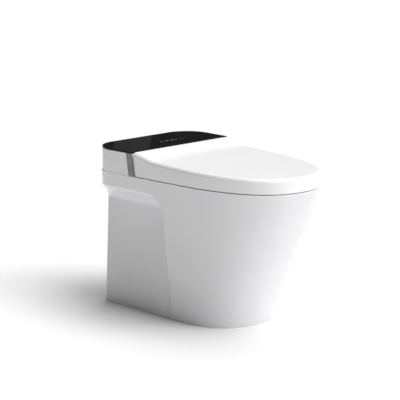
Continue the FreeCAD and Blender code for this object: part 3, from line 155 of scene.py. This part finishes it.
def finish(name, colour, roughness, pattern=None, **constants):
    """A material from a base colour, a roughness, constants and a pattern of wires."""
    material = bpy.data.materials.new(name)
    material.use_nodes = True
    tree = material.node_tree
    shader = tree.nodes["Principled BSDF"]
    shader.inputs["Base Color"].default_value = (*colour, 1.0)
    shader.inputs["Roughness"].default_value = roughness
    for socket, value in constants.items():
        shader.inputs[socket.replace("_", " ")].default_value = value
    place = Wire.node(tree, "TexCoord", output="Object")
    for socket, wire in (pattern(tree, place) if pattern else {}).items():
        tree.links.new(wire.socket, shader.inputs[socket])
    FINISHES[name] = material
    return material


def noise(tree, place, scale, detail, stretch=None):
    """Soft noise of a given scale per metre, around one half."""
    if stretch:
        place = Wire.node(tree, "Mapping", sockets={"Vector": place, "Scale": stretch})
    sockets = {"Vector": place, "Scale": scale, "Detail": detail}
    return Wire.node(tree, "TexNoise", sockets=sockets)


# the Mix node's sockets for colour, which share their names with those for plain values
MIX_FACTOR, MIX_LOW, MIX_HIGH, MIX_RESULT = 0, 6, 7, 2


def blend(tree, factor, low, high):
    """One of two colours, by a factor."""
    low, high = (shade if isinstance(shade, Wire) else (*shade, 1.0) for shade in (low, high))
    sockets = {MIX_FACTOR: factor, MIX_LOW: low, MIX_HIGH: high}
    settings = {"data_type": "RGBA", "clamp_factor": True}
    return Wire.node(tree, "Mix", settings, sockets, output=MIX_RESULT)


def relief(tree, height, depth, strength, arris=0.0):
    """A normal that follows a height of so many metres, and rounds edges by so many metres."""
    sockets = {"Height": height, "Distance": depth, "Strength": strength}
    if arris:
        settings = {"samples": BEVEL_SAMPLES}
        sockets["Normal"] = Wire.node(tree, "Bevel", settings, {"Radius": arris})
    return Wire.node(tree, "Bump", sockets=sockets)


print("finish helpers ready")

# %% [markdown]
# ## The ceramic's glaze
# Vitreous china is fired under a glassy glaze. It is almost mirror smooth, but the glaze pulls
# into a faint orange peel, and its white drifts by a shade where it ran thicker. Three noises in
# the object's own space give both without any picture. The top 3 mm of the rim are painted
# whiter, a painted highlight, so that its edge shows under the seat as a light line.


# %% Glaze
RIM_HEIGHT = 0.414
# the top band of the rim is painted whiter: a painted highlight along its edge
RIM_BAND = 0.003
RIM_BAND_SOFT = 0.001
RIM_PAINTED_HIGHLIGHT = (0.97, 0.97, 0.97)
THIN_GLAZE = (0.830, 0.830, 0.848)
THICK_GLAZE = (0.855, 0.855, 0.868)
DRIFT_SCALE, PEEL_SCALE, POOL_SCALE = 9.0, 260.0, 24.0
PEEL_SHARE = 0.35
PEEL_DEPTH = 0.00012
PEEL_STRENGTH = 0.35
GLAZE_ARRIS = 0.0025


def glaze_pattern(tree, place):
    """White that drifts, faint orange peel, rounded arrises and a painted highlight on the rim."""
    thick = noise(tree, place, DRIFT_SCALE, 2.0)
    peel = noise(tree, place, PEEL_SCALE, 2.0)
    pools = noise(tree, place, POOL_SCALE, 1.0)
    white = blend(tree, thick.step(0.5, 0.5), THIN_GLAZE, THICK_GLAZE)
    high = Wire.node(tree, "SeparateXYZ", sockets={"Vector": place}, output="Z")
    painted_highlight_band = high.step(RIM_HEIGHT - RIM_BAND, RIM_BAND_SOFT)
    height = PEEL_SHARE * peel + (1 - PEEL_SHARE) * pools
    return {
        # the rim's top band takes the painted highlight's colour instead of the glaze's white
        "Base Color": blend(tree, painted_highlight_band, white, RIM_PAINTED_HIGHLIGHT),
        "Roughness": 0.07 + 0.05 * thick,
        "Normal": relief(tree, height, PEEL_DEPTH, PEEL_STRENGTH, GLAZE_ARRIS),
    }


finish(
    "vitreous_glaze", (0.85, 0.85, 0.85), 0.09, glaze_pattern,
    Specular_IOR_Level=0.4, Coat_Weight=0.1,
)
print(len(FINISHES), "finish")

# %% [markdown]
# ## White mouldings
# The lid, the seat and the housing are injection moulded. The lid and the housing come out of a
# polished tool and keep a high gloss; the seat is a little softer to the touch; undersides and
# hidden walls come from a spark-eroded tool with a fine grain.


# %% White mouldings
FLOW_SCALE = 14.0
FLOW_SHADE = 0.975
GRAIN_STRENGTH = 0.5
MOULDED_ARRIS = 0.0007


def moulding(name, colour, roughness, grain, grain_depth, gloss=0.0):
    """A plastic with the grain of its tool."""

    def pattern(tree, place):
        flow = noise(tree, place, FLOW_SCALE, 2.0)
        tool = noise(tree, place, grain, 4.0)
        shaded = tuple(c * FLOW_SHADE for c in colour)
        return {
            "Base Color": blend(tree, flow.step(0.5, 0.6), shaded, colour),
            "Roughness": roughness + 0.06 * flow,
            "Normal": relief(tree, tool, grain_depth, GRAIN_STRENGTH, MOULDED_ARRIS),
        }

    finish(
        name, colour, roughness, pattern,
        Coat_Weight=gloss, Coat_Roughness=0.05, Specular_IOR_Level=0.3,
    )


moulding("lid_white", (0.935, 0.935, 0.935), 0.26, 300.0, 0.00004)
moulding("housing_white", (0.90, 0.90, 0.895), 0.26, 320.0, 0.00004)
moulding("seat_white", (0.87, 0.868, 0.855), 0.28, 420.0, 0.00005, gloss=0.1)
moulding("underside_white", (0.80, 0.80, 0.79), 0.48, 1900.0, 0.0001)
moulding("shroud_grey", (0.62, 0.63, 0.64), 0.38, 1500.0, 0.00008)
moulding("inner_grey", (0.30, 0.31, 0.32), 0.55, 1300.0, 0.0001)
moulding("inner_black", (0.03, 0.03, 0.032), 0.5, 1300.0, 0.0001)
print(len(FINISHES), "finishes")

# %% [markdown]
# ## Metals and rubber
# Drawn and turned metal carries fine lines across the way it was worked, so their noise is
# stretched. Rubber is matt and slightly dusty.


# %% Metals and rubber
CLOUD_SCALE = 40.0
CLOUD_SHADE = 0.82
LINE_STRENGTH = 0.6


def metal(name, colour, roughness, stretch, lines, depth):
    """A worked metal with its tool lines."""

    def pattern(tree, place):
        line = noise(tree, place, lines, 4.0, stretch)
        cloud = noise(tree, place, CLOUD_SCALE, 3.0)
        dull = tuple(c * CLOUD_SHADE for c in colour)
        return {
            "Base Color": blend(tree, cloud.step(0.5, 0.5), dull, colour),
            "Roughness": roughness + 0.16 * line,
            "Normal": relief(tree, line, depth, LINE_STRENGTH),
        }

    finish(name, colour, roughness, pattern, Metallic=1.0)


metal("wand_steel", (0.72, 0.73, 0.74), 0.14, (1.0, 0.05, 0.05), 2600.0, 0.00004)
metal("pin_steel", (0.60, 0.61, 0.62), 0.20, (0.05, 1.0, 1.0), 2200.0, 0.00004)
metal("zinc_plate", (0.62, 0.63, 0.66), 0.34, (1.0, 1.0, 0.2), 900.0, 0.00006)
metal("inlet_brass", (0.78, 0.56, 0.26), 0.28, (1.0, 1.0, 0.1), 1500.0, 0.00005)
metal("trim_grey", (0.27, 0.27, 0.28), 0.20, (1.0, 1.0, 1.0), 1500.0, 0.00004)
moulding("bumper_rubber", (0.42, 0.43, 0.43), 0.72, 800.0, 0.0001)
moulding("gland_rubber", (0.025, 0.025, 0.027), 0.7, 800.0, 0.0001)
print(len(FINISHES), "finishes")

# %% [markdown]
# ## The black glass
# The rear of the toilet ends in a sheet of black glass, with a small display that shines through
# it. The signs are generic: a ring with a stroke for power, rising bars for the warmth of the
# seat, a drop for the spray, three rings for the air and three dots for the water. They are
# drawn by distances, which stay sharp at any size.


# %% The display's signs
LINE = 0.0009
SOFT = 0.0004
ROW = 0.231
POWER = {"x": -0.012, "radius": 0.0048, "stroke": (0.0016, 0.005)}
WARMTH = {"x": 0.002, "apart": 0.0034, "width": 0.0015, "low": 0.004, "taller": 0.0024}
DROP = {"x": 0.027, "radius": 0.0034, "sunk": 0.0016, "stem": (0.0014, 0.005), "raised": 0.0028}
AIR = {"x": 0.0385, "apart": 0.0042, "swing": 0.0012, "radius": 0.0017}
WATER = {"x": 0.0625, "apart": 0.0052, "radius": 0.0011}


def reach(x, y, cx, cy):
    """The distance from a point."""
    return ((x - cx) * (x - cx) + (y - cy) * (y - cy)).root()


def bar(x, y, cx, cy, width, height):
    """A filled rectangle, from 0 to 1."""
    across = (width / 2 - abs(x - cx)).step(0.0, SOFT)
    return across * (height / 2 - abs(y - cy)).step(0.0, SOFT)


def ring(x, y, cx, cy, radius):
    """A circle's line, from 0 to 1."""
    return (LINE / 2 - abs(reach(x, y, cx, cy) - radius)).step(0.0, SOFT)


def dot(x, y, cx, cy, radius):
    """A filled circle, from 0 to 1."""
    return (radius - reach(x, y, cx, cy)).step(0.0, SOFT)


def display_signs(x, y):
    """The five signs on one row, from 0 to 1."""
    signs = ring(x, y, POWER["x"], ROW, POWER["radius"])
    signs = signs + bar(x, y, POWER["x"], ROW + POWER["radius"], *POWER["stroke"])
    for k in range(4):
        height = WARMTH["low"] + WARMTH["taller"] * k
        # every bar stands on the same line, so a taller one has its middle higher
        middle = ROW - WARMTH["taller"] + WARMTH["taller"] / 2 * k
        at = WARMTH["x"] + WARMTH["apart"] * k
        signs = signs + bar(x, y, at, middle, WARMTH["width"], height)
    signs = signs + dot(x, y, DROP["x"], ROW - DROP["sunk"], DROP["radius"])
    signs = signs + bar(x, y, DROP["x"], ROW + DROP["raised"], *DROP["stem"])
    for k in range(3):
        middle = ROW + AIR["swing"] * (-1) ** k
        signs = signs + ring(x, y, AIR["x"] + AIR["apart"] * k, middle, AIR["radius"])
    for k in range(3):
        signs = signs + dot(x, y, WATER["x"] + WATER["apart"] * k, ROW, WATER["radius"])
    return signs.math("MINIMUM", signs, 1.0)


print("signs drawn by distances")


# %% Glass
SHEET_BLACK = (0.004, 0.004, 0.005)
SIGN_PRINT = (0.30, 0.32, 0.34)
UNLIT = (0.0, 0.0, 0.0)
SIGN_GLOW = (0.105, 0.11, 0.118)
SMEAR_SCALE = 30.0


def glass_pattern(tree, place):
    """Black glass with faint smears, and the lit signs behind it."""
    x = Wire.node(tree, "SeparateXYZ", sockets={"Vector": place})
    smear = noise(tree, place, SMEAR_SCALE, 3.0)
    signs = display_signs(x, x.output("Y"))
    return {
        "Base Color": blend(tree, signs, SHEET_BLACK, SIGN_PRINT),
        "Roughness": 0.012 + 0.014 * smear,
        "Emission Color": blend(tree, signs, UNLIT, SIGN_GLOW),
    }


finish(
    "black_glass", SHEET_BLACK, 0.02, glass_pattern,
    Specular_IOR_Level=0.16, Emission_Strength=1.0,
)
print(len(FINISHES), "finishes")

# %% [markdown]
# ## Finishes on the construction nodes
# A node whose shape is already right keeps its mesh and takes a finish through its object's
# material slots. Its mesh data is shared with nothing, so only the slot changes.

# %% Give the nodes their finishes
NODE_FINISHES = {
    "vitreous_glaze": ["ceramic_body"],
    "lid_white": ["lid_shell"],
    "housing_white": ["rear_housing"],
    "seat_white": ["seat_upper_shell"],
    "underside_white": ["seat_base", "lid_liner", "chassis_tray"],
    "shroud_grey": ["front_shroud", "wand_tip", "dryer_flap", "power_button", "flush_button"],
    "inner_grey": ["dryer_duct", "fan_housing", "nozzle_cradle", "cradle_stand", "booster_tank",
                   "flush_diverter", "inlet_valve", "hinge_tower", "deodoriser_cartridge"],
    "inner_black": ["control_box", "fan_wheel", "button_switches", "wand_rack", "wand_pinion",
                    "display_board", "flush_pump", "instant_heater"],
    "wand_steel": ["wand_tube"],
    "pin_steel": ["hinge_pin_left", "hinge_pin_right"],
    "zinc_plate": ["fan_motor", "wand_motor", "dryer_heater", "seat_heater"],
    "trim_grey": ["side_trim_left", "side_trim_right"],
    "inlet_brass": ["water_inlet"],
    "bumper_rubber": ["seat_bumpers", "lid_bumpers", "lid_damper", "seat_damper"],
    "gland_rubber": ["power_gland", "outlet_seal"],
    "black_glass": ["glass_top_panel"],
}


def paint(piece, material):
    """Put one material on a node or a piece, through the object's own slots."""
    if not piece.material_slots:
        piece.data.materials.append(material)
    for slot in piece.material_slots:
        slot.link = "OBJECT"
        slot.material = material


for name, members in NODE_FINISHES.items():
    for node in members:
        paint(nodes[node], FINISHES[name])
bare = sorted(set(nodes) - {n for members in NODE_FINISHES.values() for n in members})
print("nodes without a finish:", bare)

# %% [markdown]
# ## Things that repeat
# The strips beside the lid are knurled, and the seat's underside is held by screws. Each is one
# small shape set many times, which is what Geometry Nodes are for: a tree takes a field of
# points, puts the shape on every point, and its inputs set the sizes. The result is made a plain
# mesh, laid on its place, and rides on its body.


# %% The tree builder
def pattern_tree(name, inputs, material, build):
    """A Geometry Nodes group with named inputs; build joins them to an output."""
    tree = bpy.data.node_groups.new(name, "GeometryNodeTree")
    for label, kind in inputs:
        tree.interface.new_socket(label, in_out="INPUT", socket_type=kind)
    tree.interface.new_socket("Geometry", in_out="OUTPUT", socket_type="NodeSocketGeometry")
    given = tree.nodes.new("NodeGroupInput")
    shaped = build(tree, given)
    real = geometry_node(tree, "GeometryNodeRealizeInstances", {}, {"Geometry": shaped})
    painted = geometry_node(
        tree, "GeometryNodeSetMaterial", {}, {"Geometry": real.outputs[0], "Material": material}
    )
    out = tree.nodes.new("NodeGroupOutput")
    tree.links.new(painted.outputs[0], out.inputs[0])
    return tree


def geometry_node(tree, kind, settings, sockets):
    """One node of a Geometry Nodes tree, with its settings, values and links."""
    made = tree.nodes.new(kind)
    for name, value in settings.items():
        setattr(made, name, value)
    for key, value in sockets.items():
        if isinstance(value, bpy.types.NodeSocket):
            tree.links.new(value, made.inputs[key])
        else:
            made.inputs[key].default_value = value
    return made


def grown(name, tree, values, start=None):
    """The plain mesh that a tree makes from its values."""
    seed = bpy.data.objects.new(name + "_seed", start or bpy.data.meshes.new(name + "_seed"))
    bpy.context.scene.collection.objects.link(seed)
    modifier = seed.modifiers.new("pattern", "NODES")
    modifier.node_group = tree
    sockets = {i.name: i.identifier for i in tree.interface.items_tree if i.in_out == "INPUT"}
    for label, value in values.items():
        modifier[sockets[label]] = value
    ready = seed.evaluated_get(bpy.context.evaluated_depsgraph_get())
    mesh = bpy.data.meshes.new_from_object(ready)
    bpy.data.objects.remove(seed)
    mesh.name = name
    return mesh


def place_piece(name, mesh, body):
    """An object at the origin that rides on a body."""
    piece = bpy.data.objects.new(name, mesh)
    bpy.context.scene.collection.objects.link(piece)
    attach(piece, body)
    return piece


print("tree builder ready")

# %% [markdown]
# ## The knurled strips
# A grid of small four-sided pyramids with cut tips catches the light in points, as the strips
# do on the real toilet. The tree makes the field flat, and a short loop lays it on the strip,
# which leans.


# %% The knurl tree
def knurl_shape(tree, given):
    """A stud on each point of a flat grid."""
    grid = geometry_node(
        tree, "GeometryNodeMeshGrid", {},
        {"Size X": given.outputs["Width"], "Size Y": given.outputs["Length"],
         "Vertices X": given.outputs["Columns"], "Vertices Y": given.outputs["Rows"]},
    )
    stud = geometry_node(
        tree, "GeometryNodeMeshCone", {},
        {"Vertices": 4, "Radius Top": given.outputs["Tip"], "Radius Bottom": given.outputs["Foot"],
         "Depth": given.outputs["Height"]},
    )
    spread = geometry_node(
        tree, "GeometryNodeInstanceOnPoints", {},
        {"Points": grid.outputs["Mesh"], "Instance": stud.outputs["Mesh"]},
    )
    return spread.outputs[0]


KNURL_INPUTS = (
    ("Width", "NodeSocketFloat"), ("Length", "NodeSocketFloat"),
    ("Columns", "NodeSocketInt"), ("Rows", "NodeSocketInt"),
    ("Tip", "NodeSocketFloat"), ("Foot", "NodeSocketFloat"), ("Height", "NodeSocketFloat"),
)
knurl_tree = pattern_tree("knurl", KNURL_INPUTS, FINISHES["trim_grey"], knurl_shape)

# %% The strips' knurling
KNURL = {
    "Width": 0.0196, "Length": 0.0620, "Columns": 6, "Rows": 16,
    "Tip": 0.0007, "Foot": 0.0021, "Height": 0.0009,
}
# the front edge of the right strip's outer face, from foot to head, and the way across it
STRIP_LOW = Vector((0.19592, 0.15129, 0.4146))
STRIP_HIGH = Vector((0.19621, 0.16144, 0.4810))
STRIP_ACROSS = Vector((0.00070, 0.0240, 0.0))


def on_strip(side, mesh, label):
    """The flat field laid on the strip's outer face on one side."""
    low, high, across = (
        Vector((side * v.x, v.y, v.z)) for v in (STRIP_LOW, STRIP_HIGH, STRIP_ACROSS)
    )
    centre = (low + high + across) / 2
    rise = (high - low).normalized()
    along = across.normalized()
    out = along.cross(rise) * side
    laid = mesh.copy()
    laid.name = label
    for vertex in laid.vertices:
        u, v, w = vertex.co
        vertex.co = centre + u * along + v * rise + w * out
    if side < 0:
        laid.flip_normals()
    return laid


field = grown("knurl_field", knurl_tree, KNURL)
for side, label in ((-1, "knurl_left"), (1, "knurl_right")):
    place_piece(label, on_strip(side, field, label), "bowl")
print(len(field.polygons), "faces of knurling on each strip")

# %% [markdown]
# ## The screws under the seat
# The seat's two halves are screwed together from below. A screw is a flat-topped head with a
# cross cut into it. The tree gets the places as the points of a mesh, and cuts the cross once,
# before the head is copied.


# %% The screw tree
SCREW_SIDES = 28


def screw_shape(tree, given):
    """A head with a cross cut into it, on each given place."""
    head = geometry_node(
        tree, "GeometryNodeMeshCone", {},
        {"Vertices": SCREW_SIDES, "Radius Top": given.outputs["Radius"],
         "Radius Bottom": given.outputs["Face radius"], "Depth": given.outputs["Height"]},
    )
    cut = geometry_node(
        tree, "GeometryNodeMeshBoolean", {"operation": "DIFFERENCE"},
        {"Mesh 1": head.outputs["Mesh"]},
    )
    for long, short in (("Y", "X"), ("X", "Y")):
        size = geometry_node(
            tree, "ShaderNodeCombineXYZ", {},
            {long: given.outputs["Radius"], short: given.outputs["Slot"],
             "Z": given.outputs["Height"]},
        )
        arm = geometry_node(tree, "GeometryNodeMeshCube", {}, {"Size": size.outputs[0]})
        tree.links.new(arm.outputs["Mesh"], cut.inputs["Mesh 2"])
    spread = geometry_node(
        tree, "GeometryNodeInstanceOnPoints", {},
        {"Points": given.outputs["Places"], "Instance": cut.outputs["Mesh"]},
    )
    return spread.outputs[0]


SCREW_INPUTS = (
    ("Places", "NodeSocketGeometry"), ("Radius", "NodeSocketFloat"),
    ("Face radius", "NodeSocketFloat"), ("Height", "NodeSocketFloat"), ("Slot", "NodeSocketFloat"),
)
screw_tree = pattern_tree("screw", SCREW_INPUTS, FINISHES["zinc_plate"], screw_shape)

# %% The seat's screws
SCREW = {"Radius": 0.0034, "Face radius": 0.0027, "Height": 0.0015, "Slot": 0.0009}
SEAT_UNDERSIDE = 0.4182
SCREW_PROUD = 0.0014
SCREW_FACE = SEAT_UNDERSIDE - SCREW_PROUD
SEAT_SCREWS = ((0.052, -0.292), (0.128, -0.215), (0.150, -0.080), (0.148, 0.078), (0.070, 0.094))
SCREW_PLACES = [(x * side, y) for x, y in SEAT_SCREWS for side in (-1, 1)]
places = bpy.data.meshes.new("screw_places")
places.from_pydata([(x, y, SCREW_FACE) for x, y in SCREW_PLACES], [], [])
screws = place_piece("seat_screws", grown("seat_screws", screw_tree, SCREW, places), "seat")
print(len(SCREW_PLACES), "screws,", len(screws.data.polygons), "faces")

# %% [markdown]
# ## Floor and light
# The set is lit like most catalogue work. Two soft lights from high in front and from the right
# make the lid and the floor white, and leave the side that turns away grey. A lower one lights
# the nose, and a faint one comes from behind. A narrow light from almost straight above falls on
# the ceramic alone, to draw the edge of its rim. The floor itself throws light back up.

# %% Floor
FLOOR_HALF = 40.0
FLOOR_WHITE = (0.90, 0.90, 0.90)

floor_mesh = bpy.data.meshes.new("floor")
corners = [(x * FLOOR_HALF, y * FLOOR_HALF, 0) for x, y in ((-1, -1), (1, -1), (1, 1), (-1, 1))]
floor_mesh.from_pydata(corners, [], [(0, 1, 2, 3)])
floor = bpy.data.objects.new("floor", floor_mesh)
bpy.context.scene.collection.objects.link(floor)
paint(floor, finish("floor_paper", FLOOR_WHITE, 0.9))
print("floor reaches", FLOOR_HALF, "m")


# %% Lights
def sun(name, heading, height, spread, strength):
    """A soft light from a heading and a height in degrees, wide as a spread in degrees."""
    data = bpy.data.lights.new(name, "SUN")
    data.energy = strength
    data.angle = math.radians(spread)
    made = bpy.data.objects.new(name, data)
    a, e = math.radians(heading), math.radians(height)
    towards = Vector((math.sin(a) * math.cos(e), -math.cos(a) * math.cos(e), math.sin(e)))
    made.rotation_euler = towards.to_track_quat("Z", "Y").to_euler()
    bpy.context.scene.collection.objects.link(made)
    return made


# name, heading, height, spread, strength
SUNS = (
    ("overhead_front", 20.0, 60.0, 40.0, 2.25),
    ("overhead_right", 95.0, 60.0, 40.0, 1.05),
    ("nose", 20.0, 30.0, 40.0, 0.98),
    ("behind", 150.0, 62.0, 40.0, 0.3),
)
RIM_SUN = ("rim_light", -90.0, 86.0, 8.0, 0.9)

for settings in SUNS:
    sun(*settings)
rim_light = sun(*RIM_SUN)
rim_only = bpy.data.collections.new("rim_light_receivers")
rim_only.objects.link(nodes["ceramic_body"])
rim_light.light_linking.receiver_collection = rim_only
print(len(SUNS) + 1, "suns")

# %% [markdown]
# Glass shows mostly what it mirrors. Two tall white cards stand leaning behind the toilet, where
# the glass top mirrors them as faint slanting bands. The camera itself doesn't see them.

# %% Mirror cards
CARD_HEADING = math.radians(135.0)
CARD_AWAY = 1.2
CARD_ASIDE = 0.258
CARD_RAISED = 0.674
CARD_HEIGHT = 0.36
CARD_LEAN = math.radians(-14.7)
# name, width, power
CARDS = (("mirror_card", 0.06, 0.0035), ("mirror_card_wide", 0.13, 0.0065))

card_normal = Vector((math.sin(CARD_HEADING), -math.cos(CARD_HEADING), 0.0))
card_side = Vector((math.cos(CARD_HEADING), math.sin(CARD_HEADING), 0.0))
card_turn = card_normal.to_track_quat("Z", "Y").to_matrix() @ Matrix.Rotation(CARD_LEAN, 3, "Z")


def card(name, width, power):
    """A soft white card on a stand, seen only in what the glass mirrors."""
    data = bpy.data.lights.new(name, "AREA")
    data.shape = "RECTANGLE"
    data.size, data.size_y, data.energy = width, CARD_HEIGHT, power
    made = bpy.data.objects.new(name, data)
    aside = (CARD_ASIDE + width / 2) * card_side
    made.location = CARD_AWAY * card_normal + aside + Vector((0, 0, CARD_RAISED))
    made.rotation_euler = card_turn.to_euler()
    made.visible_camera = False
    bpy.context.scene.collection.objects.link(made)


for settings in CARDS:
    card(*settings)
print(len(CARDS), "mirror cards")

# %% World
WORLD_STRENGTH = 0.035

world = bpy.data.worlds.new("studio")
world.use_nodes = True
background = world.node_tree.nodes["Background"]
background.inputs["Color"].default_value = (1.0, 1.0, 1.0, 1.0)
background.inputs["Strength"].default_value = WORLD_STRENGTH
bpy.context.scene.world = world
print("world at", WORLD_STRENGTH)
